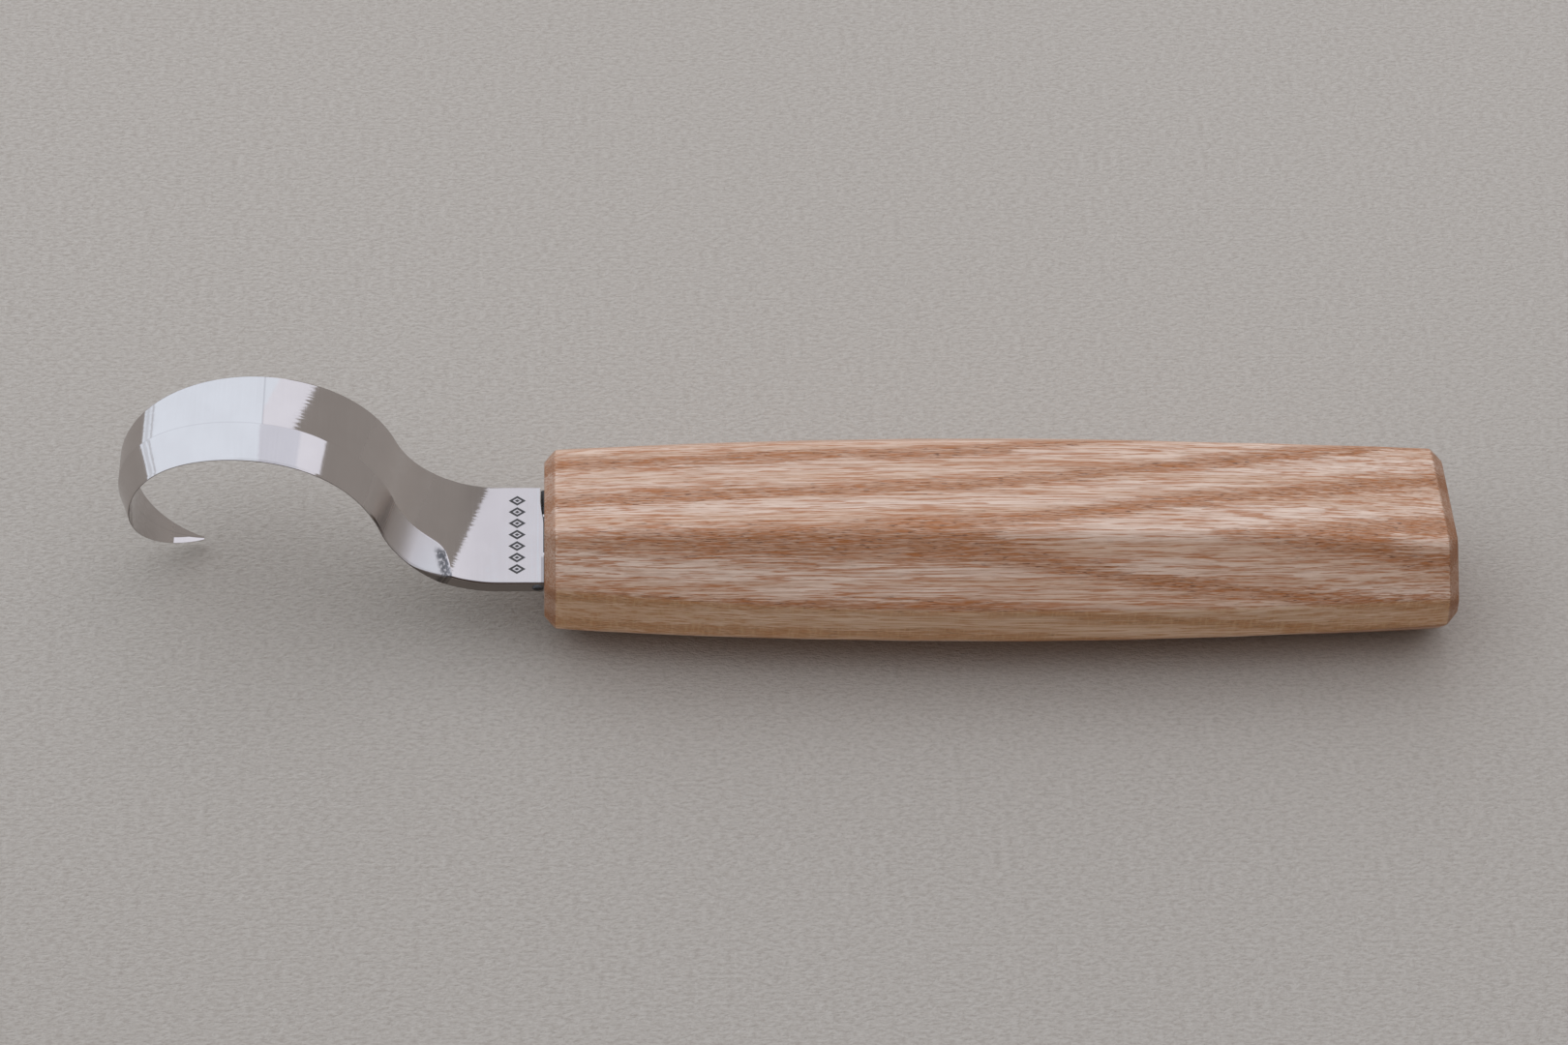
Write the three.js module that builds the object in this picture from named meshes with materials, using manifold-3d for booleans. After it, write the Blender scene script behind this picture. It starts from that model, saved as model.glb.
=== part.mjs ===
// Hook knife for carving spoons and bowls: a bent strip-steel blade whose tang is bedded in epoxy
// in the mortise of an eight-sided barrel handle.
// Millimetres, +Z up. The origin is on the resting flat, under the middle of the handle.
// +X runs along the handle to its butt, so the hook is at -X; its spine is at +Y, its edge at -Y.

import * as THREE from 'three';
import { mergeVertices } from 'three/addons/utils/BufferGeometryUtils.js';
import Module from 'manifold-3d';

const wasm = await Module();
wasm.setup();

// ---- driving dimensions ----

const CLEARANCE = 0.3;              // gap between neighbouring pieces

const HANDLE = {
  length: 110,
  ends: [-55, 55],                  // neck end, butt end
  halfWidth: [10.7, 13.5, 11.4],    // at the neck, the middle and the butt
  halfHeight: [8.9, 10.2, 8.4],
  topHalfWidth: [6.4, 7.0, 7.4],    // of the flat top and bottom facets
  sideHalfHeight: [3.8, 2.9, 2.4],  // of the upright side facets
  restingFlat: 56,                  // length of the level part of the bottom facet
  endBevel: 1.3,                    // how far the bevel at each end reaches along the handle
  bevelDrop: [0.9, 1.5],            // how far it cuts into the flat and the slanting facets
};
const HANDLE_STATIONS = 22;
const AXIS_HEIGHT = HANDLE.halfHeight[1];

const STRIP = { thickness: 1.6, width: 14.8, tipWidth: 0.5, tipThickness: 0.9, edgeThickness: 0.12 };
const SHOULDER_GAP = 0.45;          // bare tang between the handle and the blade's shoulder
const SHANK_LENGTH = 5.35;          // straight shank, from the handle's face
const NECK_BEND = { radius: 13.8, angle: THREE.MathUtils.degToRad(71.5) };
const HOOK_BEND = { radius: 16.1, angle: THREE.MathUtils.degToRad(220.2) };
const NECK_END = SHANK_LENGTH + NECK_BEND.radius * NECK_BEND.angle;
const BLADE_LENGTH = NECK_END + HOOK_BEND.radius * HOOK_BEND.angle;

const GRIND = {
  plunge: [10.8, 12.4],             // where the bevel starts, measured along the blade
  pointStart: 63,                   // where the edge begins to curve to the point
  widthAtPoint: 8.75,               // blade width there
  bevelWidth: 4.4,
  belly: 0.5,                       // how far the edge swells out round the hook
  bellySpan: [29, 61],
};
const BLADE_STATIONS = 96;

const TANG = { length: 48, rootWidth: 6.4, endWidth: 4.4, overlap: 1.0, nose: 2.2 };
const EPOXY = { width: 9.0, height: 4.2, length: 50 };
const ARC_SEGMENTS = 8;

// ---- helpers ----

const lerp = THREE.MathUtils.lerp;
const smoothstep = THREE.MathUtils.smoothstep;

function toSolid(geometry) {
  const bare = geometry.index ? geometry.clone() : mergeVertices(geometry);
  bare.deleteAttribute('normal');
  bare.deleteAttribute('uv');
  const merged = mergeVertices(bare);
  return new wasm.Manifold(new wasm.Mesh({
    numProp: 3,
    vertProperties: new Float32Array(merged.attributes.position.array),
    triVerts: new Uint32Array(merged.index.array),
  }));
}

function toGeometry(solid) {
  const mesh = solid.getMesh();
  const geometry = new THREE.BufferGeometry();
  geometry.setAttribute('position', new THREE.BufferAttribute(mesh.vertProperties, 3));
  geometry.setIndex(new THREE.BufferAttribute(mesh.triVerts, 1));
  geometry.computeVertexNormals();
  return geometry;
}

// Moves every vertex of a geometry to where place() puts it.
function reshape(geometry, place) {
  const position = geometry.attributes.position;
  const vertex = new THREE.Vector3();
  for (let i = 0; i < position.count; i++) {
    vertex.fromBufferAttribute(position, i);
    position.setXYZ(i, ...place(vertex));
  }
  return geometry;
}

// A bar along +X from startX, with a section that is a slot with round ends.
function slotBar(width, height, length, startX) {
  const straight = (width - height) / 2;
  const section = new THREE.Shape();
  section.absarc(straight, 0, height / 2, -Math.PI / 2, Math.PI / 2, false);
  section.absarc(-straight, 0, height / 2, Math.PI / 2, Math.PI * 1.5, false);
  const bar = new THREE.ExtrudeGeometry(section, {
    depth: length, bevelEnabled: false, curveSegments: ARC_SEGMENTS,
  });
  return bar.rotateX(Math.PI / 2).rotateZ(Math.PI / 2).translate(startX, 0, AXIS_HEIGHT);
}

// ---- handle ----

// A barrel's half size at x: the value at each end swells to the middle along a parabola.
function barrel([neck, middle, butt], x, levelLength = 0) {
  const half = HANDLE.length / 2;
  const level = levelLength / 2;
  const beyond = Math.max(0, Math.abs(x) - level) / (half - level);
  return lerp(middle, x < 0 ? neck : butt, beyond ** 2);
}

// One corner of the eight-sided section at x, counted from the top facet's spine side.
// The section is cut down by flatDrop on its flat facets and slantDrop on its slanting ones.
function handleCorner(x, corner, flatDrop, slantDrop) {
  const isBelow = corner >= 2 && corner <= 5;
  const side = corner >= 4 ? -1 : 1;
  const isOnFlat = corner % 4 === 0 || corner % 4 === 3;
  const width = barrel(HANDLE.halfWidth, x);
  const height = barrel(HANDLE.halfHeight, x, isBelow ? HANDLE.restingFlat : 0);
  const top = barrel(HANDLE.topHalfWidth, x);
  const upright = barrel(HANDLE.sideHalfHeight, x);
  const slant = new THREE.Vector2(height - upright, width - top).normalize();
  const reach = slant.x * top + slant.y * height - slantDrop;
  const [cutWidth, cutHeight] = [width - flatDrop, height - flatDrop];
  const y = isOnFlat ? (reach - slant.y * cutHeight) / slant.x : cutWidth;
  const z = isOnFlat ? cutHeight : (reach - slant.x * cutWidth) / slant.y;
  return [side * y, isBelow ? -z : z];
}

function handleBarrel() {
  const half = HANDLE.length / 2;
  const blank = new THREE.CylinderGeometry(1, 1, HANDLE_STATIONS, 8, HANDLE_STATIONS);
  return reshape(blank, (v) => {
    const station = Math.round(v.y + HANDLE_STATIONS / 2);
    const isEnd = station === 0 || station === HANDLE_STATIONS;
    const bodyHalf = half - HANDLE.endBevel;
    const along = (station - 1) / (HANDLE_STATIONS - 2);
    const bodyX = lerp(-bodyHalf, bodyHalf, THREE.MathUtils.clamp(along, 0, 1));
    const x = isEnd ? Math.sign(bodyX) * half : bodyX;
    if (Math.hypot(v.x, v.z) < 0.5) return [x, 0, AXIS_HEIGHT];
    const corner = (Math.round(Math.atan2(-v.x, v.z) / (Math.PI / 4)) + 8) % 8;
    const [y, z] = handleCorner(bodyX, corner, ...(isEnd ? HANDLE.bevelDrop : [0, 0]));
    return [x, y, AXIS_HEIGHT + z];
  });
}

function handle() {
  const mortise = slotBar(
    EPOXY.width + 2 * CLEARANCE, EPOXY.height + 2 * CLEARANCE,
    EPOXY.length + CLEARANCE + 1, HANDLE.ends[0] - 1,
  );
  return toGeometry(toSolid(handleBarrel()).subtract(toSolid(mortise)));
}

// ---- blade ----

// Where a point of the flat blank goes once the blank is bent.
// along: distance from the handle's face; out: distance from the middle of the thickness.
function bend(along, y, out) {
  const startX = HANDLE.ends[0] - SHANK_LENGTH;
  const neck = NECK_BEND;
  if (along <= SHANK_LENGTH) return [HANDLE.ends[0] - along, y, AXIS_HEIGHT + out];
  if (along <= NECK_END) {
    const angle = (along - SHANK_LENGTH) / neck.radius;
    const radius = neck.radius - out;
    return [
      startX - radius * Math.sin(angle),
      y,
      AXIS_HEIGHT + neck.radius - radius * Math.cos(angle),
    ];
  }
  const centreReach = neck.radius + HOOK_BEND.radius;
  const centreX = startX - centreReach * Math.sin(neck.angle);
  const centreZ = AXIS_HEIGHT + neck.radius - centreReach * Math.cos(neck.angle);
  const angle = neck.angle - (along - NECK_END) / HOOK_BEND.radius;
  const radius = HOOK_BEND.radius + out;
  return [centreX + radius * Math.sin(angle), y, centreZ + radius * Math.cos(angle)];
}

// Blade width: full along the shank, a taper with a slight belly along the hook, then a curve
// to the point.
function bladeWidth(along) {
  const [, plungeEnd] = GRIND.plunge;
  const taper = (STRIP.width - GRIND.widthAtPoint) / (GRIND.pointStart - plungeEnd);
  if (along <= plungeEnd) return STRIP.width;
  if (along <= GRIND.pointStart) {
    const [start, end] = GRIND.bellySpan;
    const round = THREE.MathUtils.clamp((along - start) / (end - start), 0, 1);
    return STRIP.width - taper * (along - plungeEnd) + GRIND.belly * Math.sin(Math.PI * round) ** 2;
  }
  const pointLength = BLADE_LENGTH - GRIND.pointStart;
  const beyond = along - GRIND.pointStart;
  const curve = (GRIND.widthAtPoint - STRIP.tipWidth - taper * pointLength) / pointLength ** 2;
  return GRIND.widthAtPoint - taper * beyond - curve * beyond ** 2;
}

function bladeStrip() {
  const spineY = STRIP.width / 2;
  const blank = new THREE.BoxGeometry(1, 2, 2, BLADE_STATIONS, 2, 1);
  return reshape(blank, (v) => {
    const along = lerp(BLADE_LENGTH, SHOULDER_GAP, v.x + 0.5);
    const width = bladeWidth(along);
    const ground = smoothstep(along, ...GRIND.plunge);
    const toPoint = smoothstep(along, GRIND.pointStart, BLADE_LENGTH);
    const thickness = lerp(STRIP.thickness, STRIP.tipThickness, toPoint);
    const bevelShare = GRIND.bevelWidth / Math.max(width, GRIND.widthAtPoint);
    const ridgeY = spineY - width * (1 - bevelShare * Math.max(ground, 0.1));
    const y = [spineY - width, ridgeY, spineY][Math.round(v.y) + 1];
    const inner = -STRIP.thickness / 2;
    const isEdge = v.y < -0.5;
    const full = inner + thickness;
    const outer = isEdge ? lerp(full, inner + STRIP.edgeThickness, ground) : full;
    return bend(along, y, v.z < 0 ? inner : outer);
  });
}

function tang() {
  const shoulderX = HANDLE.ends[0] - SHOULDER_GAP;
  const endX = HANDLE.ends[0] + TANG.length;
  const outline = new THREE.Shape();
  outline.moveTo(shoulderX - TANG.overlap, -TANG.rootWidth / 2);
  outline.lineTo(endX - TANG.nose, -TANG.endWidth / 2);
  outline.lineTo(endX, -TANG.endWidth / 4);
  outline.lineTo(endX, TANG.endWidth / 4);
  outline.lineTo(endX - TANG.nose, TANG.endWidth / 2);
  outline.lineTo(shoulderX - TANG.overlap, TANG.rootWidth / 2);
  outline.closePath();
  return new THREE.ExtrudeGeometry(outline, { depth: STRIP.thickness, bevelEnabled: false })
    .translate(0, 0, AXIS_HEIGHT - STRIP.thickness / 2);
}

function blade() {
  return toGeometry(toSolid(bladeStrip()).add(toSolid(tang())));
}

// ---- epoxy round the tang ----

function tangEpoxy() {
  const bed = slotBar(EPOXY.width, EPOXY.height, EPOXY.length, HANDLE.ends[0]);
  const slot = new THREE.BoxGeometry(
    TANG.length + CLEARANCE + 1, TANG.rootWidth + 2 * CLEARANCE, STRIP.thickness + 2 * CLEARANCE,
  );
  slot.translate(HANDLE.ends[0] + (TANG.length + CLEARANCE - 1) / 2, 0, AXIS_HEIGHT);
  return toGeometry(toSolid(bed).subtract(toSolid(slot)));
}

// ---- assembly ----

const steel = new THREE.MeshStandardMaterial({ color: 0xc9cbd0, roughness: 0.18, metalness: 1 });
const ash = new THREE.MeshStandardMaterial({ color: 0xb98e6b, roughness: 0.55, metalness: 0 });
const epoxy = new THREE.MeshStandardMaterial({ color: 0x1b1a19, roughness: 0.4, metalness: 0 });

function piece(name, geometry, material) {
  const mesh = new THREE.Mesh(geometry, material);
  mesh.name = name;
  return mesh;
}

const hookKnife = new THREE.Group();
hookKnife.add(piece('blade', blade(), steel));
hookKnife.add(piece('handle', handle(), ash));
hookKnife.add(piece('tang_epoxy', tangEpoxy(), epoxy));

export default hookKnife;
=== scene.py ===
"""Hook knife for carving spoons: a bent steel ribbon bedded in an eight-sided ash handle.

The numbers in capitals are in millimetres and degrees, in the part's own frame: +X towards
the butt, +Y towards the blade's spine, -Y towards its cutting edge, +Z up from the table.
"""

import math

import bpy
from mathutils import Matrix, Vector

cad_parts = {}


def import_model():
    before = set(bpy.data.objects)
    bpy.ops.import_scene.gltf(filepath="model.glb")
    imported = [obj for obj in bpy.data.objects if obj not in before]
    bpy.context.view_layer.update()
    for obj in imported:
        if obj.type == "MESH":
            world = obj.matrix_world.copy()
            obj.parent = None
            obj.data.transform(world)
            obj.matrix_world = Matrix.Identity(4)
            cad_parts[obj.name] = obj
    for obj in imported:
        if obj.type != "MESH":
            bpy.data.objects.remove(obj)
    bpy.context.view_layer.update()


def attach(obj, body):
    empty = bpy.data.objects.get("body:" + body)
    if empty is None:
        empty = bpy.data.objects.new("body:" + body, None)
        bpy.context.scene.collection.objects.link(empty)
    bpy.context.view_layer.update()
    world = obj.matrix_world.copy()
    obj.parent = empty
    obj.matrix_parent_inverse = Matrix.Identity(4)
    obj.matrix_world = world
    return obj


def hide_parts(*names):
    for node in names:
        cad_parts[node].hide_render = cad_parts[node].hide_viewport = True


MM = 0.001

# The handle: sizes at the neck, in the middle and at the butt.
HANDLE_HALF_LENGTH = 55.0
HALF_WIDTH = (10.7, 13.5, 11.4)
HALF_HEIGHT = (8.9, 10.2, 8.4)
TOP_HALF_WIDTH = (6.4, 7.0, 7.4)
SIDE_HALF_HEIGHT = (3.8, 2.9, 2.4)
RESTING_FLAT = 56.0
AXIS_HEIGHT = HALF_HEIGHT[1]
END_BEVEL = 1.3
BEVEL_DROP_FLAT = 0.9
BEVEL_DROP_SLANT = 1.5
RIDGE_RADIUS = 1.9
BEVEL_ROUNDING = 0.14
END_RIDGE_RADIUS = 1.1
END_INSET = 0.08
HAND_WANDER = 0.02
TABLE_TOLERANCE = 0.05
# The butt was sawn a little out of square: it leans back above this height.
BUTT_LEAN = 0.115
BUTT_LEAN_ABOVE = 11.0
BUTT_LEAN_START = 35.0
POINTS_PER_RIDGE = 7
POINTS_PER_FACET = 6
# Sections stand close together over the end bevels: these are their distances from the last.
BEVEL_STATIONS = (0.0, 0.1, 0.3, 0.65, 0.95, 1.15, 1.3, 1.45, 1.65, 2.0)
LAST_STATION = HANDLE_HALF_LENGTH - 0.06
BARREL_STATIONS_END = 52.2
BARREL_STATIONS = 120

# The mortise, and the resin that beds the tang in it.
MORTISE_HALF = (4.8, 2.4)
MORTISE_DEPTH = 50.3
MOUTH_CHAMFER = 0.12
RESIN_HALF = (4.5, 2.1)
RESIN_LENGTH = 50.0
RESIN_CORNER = 0.6
RESIN_INSET = 0.25
COLLAR_HALF = (7.1, 0.78)
COLLAR_CORNER = 0.35
COLLAR_OVERLAP = 0.02
COLLAR_FILL = 0.8
COLLAR_TAPER = (0.985, 0.93)
TANG_PLAY = 0.06
TANG_END_PLAY = (0.7, 0.4)
SLOT_CORNER = 0.05
SLOT_LIP = 0.12
DROP_CENTRE = (-55.75, -7.8, 10.65)
DROP_HALF = (0.75, 0.4, 0.36)
DROP_BANDS = 8
DROP_POINTS = 12
LOOP_POINTS = 48

# The blade: a flat strip bent along two arcs, whose radii are those of its middle plane.
THICKNESS = 1.6
WIDTH = 14.8
TIP_WIDTH = 0.5
TIP_THICKNESS = 0.9
EDGE_THICKNESS = 0.1
SHOULDER_GAP_AT_EDGE = 0.06
SHOULDER_GAP_AT_SPINE = 0.5
NOTCH_START = 2.9
NOTCH_RUN = 0.4
SHANK_LENGTH = 5.35
NECK_RADIUS = 13.8
NECK_ANGLE = math.radians(71.5)
HOOK_RADIUS = 16.1
HOOK_ANGLE = math.radians(220.2)
NECK_END = SHANK_LENGTH + NECK_RADIUS * NECK_ANGLE
BLADE_LENGTH = NECK_END + HOOK_RADIUS * HOOK_ANGLE
TAPER_START = 12.4
POINT_START = 63.0
WIDTH_AT_POINT = 8.75
BELLY = 0.5
BELLY_SPAN = (29.0, 61.0)
PLUNGE_START = 11.45
PLUNGE_RUN = 0.62
PLUNGE_RAMP = 5.6
PLUNGE_FIRST_DROP = 0.22
BEVEL_WIDTH = 4.4
MICRO_BEVEL_WIDTH = 0.28
MICRO_BEVEL_TILT = 0.24
RIDGE_ROUNDING = 0.09
CORNER_RADIUS = 0.22
EDGE_CHAMFER = 0.2
CHAMFER_FACINGS = ((-0.42, 0.9, 0), (-0.9, 0.42, 0))
# Where the strip is thin or narrow, its small features shrink to these shares of it.
CHAMFER_SHARE = 0.15
MICRO_BEVEL_SHARE = 0.3
CORNER_SHARE_OF_WIDTH = 0.2
CORNER_SHARE_OF_THICKNESS = 0.25
TIP_FACET_SHARE = 0.45
# The belt that polished the flats ran a little askew as far as a crease at the hook's top.
POLISH_SLANT = 0.33
POLISH_CREASE = 41.4
POLISH_LEAD = 0.9
POLISH_LEAD_END = 46.0
POLISH_LAG = 2.6
BEVEL_LAG = 1.7
POLISH_LAG_SPAN = (46.0, 54.0)
# Where the grind runs out, the wheel left the bevel facing back towards the shank.
RUN_OUT_LAG = 5.2
RUN_OUT_RISE = (11.4, 14.0)
RUN_OUT_FALL = (15.5, 24.0)
# The last stretch of the edge was honed from the inside too, towards the tip.
TIP_FACET_LENGTH = 4.6
TIP_FACET_WIDTH = 0.85
TIP_FACET_MIDDLE = 1.6
TIP_FACET_FACING = (-0.26, -0.95, -0.15)
TANG_LENGTH = 48.0
TANG_ROOT_HALF_WIDTH = 3.2
TANG_END_HALF_WIDTH = 2.2
TANG_NOSE = 2.2
# Directions (across, out, ahead) on the strip's own section.
OUTWARD = (0, 1, 0)
INWARD = (0, -1, 0)
TO_SPINE = (1, 0, 0)
TO_EDGE = (-1, 0, 0)
# Points that agree to a micrometre are one point.
WELD_DECIMALS = 3

# The camera: where it stands, what it looks at, which way is up in it, and its lens.
CAMERA_PLACE = (-54.90, -263.72, 340.90)
CAMERA_TARGET = (-25.95, 2.51, 10.2)
CAMERA_UP = (0.00013, 0.77894524, 0.62709193)
CAMERA_LENS = 80.44
SENSOR_WIDTH = 36.0
# The floor's half side.
FLOOR_HALF = 1500.0


# ---------------------------------------------------------------- small helpers


def mix(a, b, t):
    return a + (b - a) * t


def clamp01(t):
    return max(0.0, min(1.0, t))


def smooth(t):
    t = clamp01(t)
    return t * t * (3 - 2 * t)


def spread(start, end, count):
    """count + 1 evenly spaced numbers from start to end."""
    return [mix(start, end, i / count) for i in range(count + 1)]


def make_object(name, points, faces, uv_layers=(), normals=None):
    """A mesh object from points in mm. UVs and normals are given for each face corner."""
    mesh = bpy.data.meshes.new(name)
    mesh.from_pydata([Vector(p) * MM for p in points], [], faces)
    mesh.update()
    for polygon in mesh.polygons:
        polygon.use_smooth = True
    for layer_name, uvs in uv_layers:
        layer = mesh.uv_layers.new(name=layer_name)
        for loop, uv in zip(layer.data, uvs):
            loop.uv = uv
    if normals:
        mesh.normals_split_custom_set(normals)
    made = bpy.data.objects.new(name, mesh)
    bpy.context.scene.collection.objects.link(made)
    return made


def quads_between(first, second, count):
    """Faces that join two closed rings of count points whose first indices are given."""
    for i in range(count):
        j = (i + 1) % count
        yield (first + i, first + j, second + j, second + i)


# ---------------------------------------------------------------- handle


def add_fan(points, faces, ring, centre):
    """Close a ring of indices with triangles that meet at a new point in its middle."""
    points.append(centre)
    for j, index in enumerate(ring):
        faces.append((len(points) - 1, index, ring[(j + 1) % len(ring)]))


def barrel(sizes, x, level=0.0):
    """A size at x: widest in the middle, which stays level over that length."""
    neck, middle, butt = sizes
    beyond = max(0.0, abs(x) - level / 2) / (HANDLE_HALF_LENGTH - level / 2)
    return mix(middle, neck if x < 0 else butt, beyond**2)


def octagon(x, drop_flat, drop_slant):
    """The eight corners of the handle's section at x, counter-clockwise seen from the butt."""
    width = barrel(HALF_WIDTH, x)
    top = barrel(HALF_HEIGHT, x)
    bottom = barrel(HALF_HEIGHT, x, RESTING_FLAT)
    top_width = barrel(TOP_HALF_WIDTH, x)
    side_height = barrel(SIDE_HALF_HEIGHT, x)
    corners = []
    for up, height in ((1, top), (-1, bottom)):
        normal = Vector((height - side_height, width - top_width)).normalized()
        reach = normal.dot(Vector((top_width, height))) - drop_slant
        flat = height - drop_flat
        side = width - drop_flat
        on_flat = ((reach - normal.y * flat) / normal.x, flat)
        on_side = (side, (reach - normal.x * side) / normal.y)
        corners.append([(y, z * up) for y, z in (on_flat, on_side)])
    (top_in, top_out), (low_in, low_out) = corners
    right = [low_in, low_out, top_out, top_in]
    left = [(-y, z) for y, z in reversed(right)]
    return [Vector(c) for c in right + left]


def rounded_outline(corners, radius):
    """The corners rounded off, with a fixed number of points on each arc and each side."""
    count = len(corners)
    arcs = []
    for i, corner in enumerate(corners):
        before = (corners[i - 1] - corner).normalized()
        after = (corners[(i + 1) % count] - corner).normalized()
        half_turn = (math.pi - before.angle(after)) / 2
        reach = radius * math.tan(half_turn)
        centre = corner + (before + after).normalized() * (radius / math.cos(half_turn))
        start = corner + before * reach - centre
        end = corner + after * reach - centre
        arc = []
        for t in spread(0, 1, POINTS_PER_RIDGE - 1):
            turned = start.slerp(end, t)
            arc.append(centre + turned.normalized() * radius)
        arcs.append(arc)
    outline = []
    for i, arc in enumerate(arcs):
        outline += arc
        following = arcs[(i + 1) % count][0]
        for t in spread(0, 1, POINTS_PER_FACET)[1:-1]:
            outline.append(arc[-1].lerp(following, t))
    return outline


def end_drop(x):
    """How far the end bevel has fallen at x: 0 on the barrel and 1 at the end face."""
    u = abs(x) - (HANDLE_HALF_LENGTH - END_BEVEL)
    softened = (u + math.sqrt(u * u + BEVEL_ROUNDING**2)) / 2
    return softened / END_BEVEL


def sawn_askew(x, z):
    """Where a point at x and height z comes to lie, as the butt leans."""
    share = smooth((x - BUTT_LEAN_START) / (HANDLE_HALF_LENGTH - BUTT_LEAN_START))
    return x - share * BUTT_LEAN * (z - BUTT_LEAN_ABOVE)


def handle_ring(x, inset=0.0):
    """The handle's outline at x, counter-clockwise seen from the butt."""
    share = end_drop(x)
    on_barrel = 1 - clamp01(share)
    corners = octagon(x, share * BEVEL_DROP_FLAT + inset, share * BEVEL_DROP_SLANT + inset)
    radius = mix(END_RIDGE_RADIUS, RIDGE_RADIUS, on_barrel)
    ring = []
    for p in rounded_outline(corners, radius):
        # The facets were cut by hand, so they wander a few hundredths of a millimetre.
        ripple = math.sin(x * 0.17 + p.y * 0.5) + math.sin(x * 0.31 - p.x * 0.4 + 2)
        on_table = p.y < -AXIS_HEIGHT + TABLE_TOLERANCE
        wander = 0.0 if on_table else HAND_WANDER * abs(ripple) * on_barrel
        moved = p - wander * p.normalized()
        height = moved.y + AXIS_HEIGHT
        ring.append((sawn_askew(x, height), moved.x, height))
    return ring


def rounded_rectangle(x, half_y, half_z, radius):
    """A ring of LOOP_POINTS points round the axis, counter-clockwise seen from the butt."""
    ring = []
    for i in range(LOOP_POINTS):
        angle = -math.pi / 2 + 2 * math.pi * (i + 0.5) / LOOP_POINTS
        ray = Vector((math.cos(angle), math.sin(angle)))
        core = Vector((half_y - radius, half_z - radius))
        reach_y = half_y / max(abs(ray.x), 1e-6)
        reach_z = half_z / max(abs(ray.y), 1e-6)
        p = ray * min(reach_y, reach_z)
        near = Vector((max(-core.x, min(core.x, p.x)), max(-core.y, min(core.y, p.y))))
        out = p - near
        if out.length > radius:
            p = near + out.normalized() * radius
        ring.append((x, p.x, p.y + AXIS_HEIGHT))
    return ring


def matched_ring(x, half_y, half_z, outline):
    """A rectangle's outline with one point on each ray from the axis to the outline."""
    ring = []
    for _, y, z in outline:
        ray = Vector((y, z - AXIS_HEIGHT)).normalized()
        reach = min(half_y / max(abs(ray.x), 1e-6), half_z / max(abs(ray.y), 1e-6))
        ring.append((x, ray.x * reach, ray.y * reach + AXIS_HEIGHT))
    return ring


def handle_stations():
    """The places of the handle's sections, from its neck to its butt."""
    ends = [LAST_STATION - back for back in BEVEL_STATIONS]
    level = spread(-BARREL_STATIONS_END, BARREL_STATIONS_END, BARREL_STATIONS)
    return [-x for x in ends] + level + list(reversed(ends))


def build_handle():
    """The ash barrel: mortise floor and walls, neck face, barrel and butt, ring by ring."""
    neck = -HANDLE_HALF_LENGTH
    neck_face = [(neck, y, z) for _, y, z in handle_ring(neck, END_INSET)]
    mouth_half = [half + MOUTH_CHAMFER for half in MORTISE_HALF]
    rings = [
        matched_ring(neck + MORTISE_DEPTH, *MORTISE_HALF, neck_face),
        matched_ring(neck + MOUTH_CHAMFER, *MORTISE_HALF, neck_face),
        matched_ring(neck, *mouth_half, neck_face),
        neck_face,
    ]
    rings += [handle_ring(x) for x in handle_stations()]
    rings.append(handle_ring(HANDLE_HALF_LENGTH, END_INSET))
    points = [p for ring in rings for p in ring]
    count = len(neck_face)
    last = (len(rings) - 1) * count
    faces = []
    for first in range(0, last, count):
        faces += quads_between(first, first + count, count)
    mortise_floor = (neck + MORTISE_DEPTH, 0.0, AXIS_HEIGHT)
    butt_centre = (sawn_askew(HANDLE_HALF_LENGTH, AXIS_HEIGHT), 0.0, AXIS_HEIGHT)
    add_fan(points, faces, list(reversed(range(count))), mortise_floor)
    add_fan(points, faces, list(range(last, last + count)), butt_centre)
    return make_object("ash_handle", points, faces)


# ---------------------------------------------------------------- blade


def bend(along, y, out):
    """A point of the bent strip: along its middle line, across it, and out of its face."""
    start_x = -HANDLE_HALF_LENGTH - SHANK_LENGTH
    if along <= SHANK_LENGTH:
        return (-HANDLE_HALF_LENGTH - along, y, AXIS_HEIGHT + out)
    if along <= NECK_END:
        angle = (along - SHANK_LENGTH) / NECK_RADIUS
        radius = NECK_RADIUS - out
        up = AXIS_HEIGHT + NECK_RADIUS - radius * math.cos(angle)
        return (start_x - radius * math.sin(angle), y, up)
    both = NECK_RADIUS + HOOK_RADIUS
    centre_x = start_x - both * math.sin(NECK_ANGLE)
    centre_z = AXIS_HEIGHT + NECK_RADIUS - both * math.cos(NECK_ANGLE)
    angle = NECK_ANGLE - (along - NECK_END) / HOOK_RADIUS
    radius = HOOK_RADIUS + out
    return (centre_x + radius * math.sin(angle), y, centre_z + radius * math.cos(angle))


def lean(along):
    """The angle between the strip's outer face and the vertical, towards the handle."""
    if along <= SHANK_LENGTH:
        return 0.0
    if along <= NECK_END:
        return (along - SHANK_LENGTH) / NECK_RADIUS
    return NECK_ANGLE - (along - NECK_END) / HOOK_RADIUS


def blade_width(along):
    """The strip's width: even on the shank, then tapering, then curving in to the tip."""
    taper = (WIDTH - WIDTH_AT_POINT) / (POINT_START - TAPER_START)
    if along <= TAPER_START:
        return WIDTH
    if along <= POINT_START:
        start, end = BELLY_SPAN
        across = clamp01((along - start) / (end - start))
        belly = BELLY * math.sin(math.pi * across) ** 2
        return WIDTH - taper * (along - TAPER_START) + belly
    length = BLADE_LENGTH - POINT_START
    beyond = along - POINT_START
    curve = (WIDTH_AT_POINT - TIP_WIDTH - taper * length) / length**2
    return WIDTH_AT_POINT - taper * beyond - curve * beyond**2


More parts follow.
